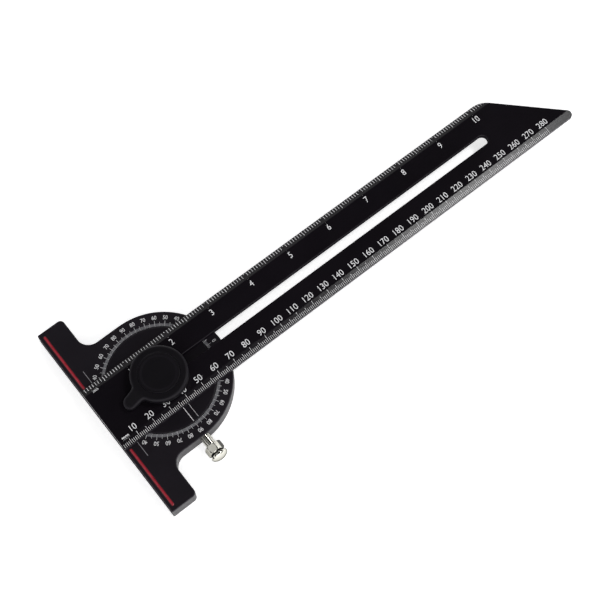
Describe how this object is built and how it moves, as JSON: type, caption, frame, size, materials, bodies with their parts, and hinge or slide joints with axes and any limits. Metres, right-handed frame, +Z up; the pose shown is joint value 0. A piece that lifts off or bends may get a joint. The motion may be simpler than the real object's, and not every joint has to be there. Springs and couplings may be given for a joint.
{
  "type": "sliding bevel",
  "caption": "Sliding bevel with a T-shaped stock, a protractor turret, a slotted rule blade that slides and swings, a lock lever and a spring index plunger.",
  "frame": {"origin": "on the pivot axis, at the middle of the clamp bolt's flat head, which is flush with the stock's underside", "axes": "+X runs along the blade from the reference face towards the tip, +Y towards the blade's inch edge, and +Z up out of the lock lever"},
  "size_m": [0.2972, 0.116, 0.0206],
  "materials": {
    "stock_black": "black anodised, satin",
    "turret_black": "black anodised, turned",
    "blade_black": "black anodised, brushed along its length",
    "red_fill": "glossy enamel fill",
    "lever_black": "fine matt moulded",
    "steel": "machined",
    "plate_steel": "ground and turned",
    "nickel": "polished nickel plate",
    "brass": "turned",
    "nylon": "natural nylon",
    "scale_white": "laser marked"
  },
  "bodies": {
    "stock": {"stock": "stock_black", "upper_red_inlay": "red_fill", "lower_red_inlay": "red_fill", "plunger_sleeve": "nickel"},
    "turret": {"turret_disc": "turret_black", "front_guide_pin": "steel", "rear_guide_pin": "steel", "retainer_plate": "plate_steel", "retainer_screw_1": "steel", "retainer_screw_2": "steel", "retainer_screw_3": "steel", "retainer_screw_4": "steel", "clamp_bolt": "steel", "friction_washer": "nylon", "spring_washer": "steel"},
    "blade": {"blade": "blade_black"},
    "lever": {"lock_lever": "lever_black", "lever_insert": "brass", "lever_cap": "lever_black"},
    "plunger": {"index_pin": "steel", "plunger_knob": "nickel", "plunger_spring": "steel"}
  },
  "joints": [
    {"name": "turret_swing", "type": "hinge", "parent": "stock", "child": "turret", "pos_m": [0, 0, 0], "axis": [0, 0, 1], "range_deg": [-90, 90]},
    {"name": "blade_slide", "type": "slide", "parent": "turret", "child": "blade", "axis": [1, 0, 0], "range_m": [-0.2035, 0]},
    {"name": "lever_turn", "type": "hinge", "parent": "turret", "child": "lever", "pos_m": [0, 0, 0.014], "axis": [0, 0, 1], "range_deg": [0, 180]},
    {"name": "plunger_pull", "type": "slide", "parent": "stock", "child": "plunger", "axis": [0, -1, 0], "range_m": [0, 0.0025], "stiffness_N_per_m": 400, "springref_m": -0.004, "deforming": ["plunger_spring"]}
  ]
}
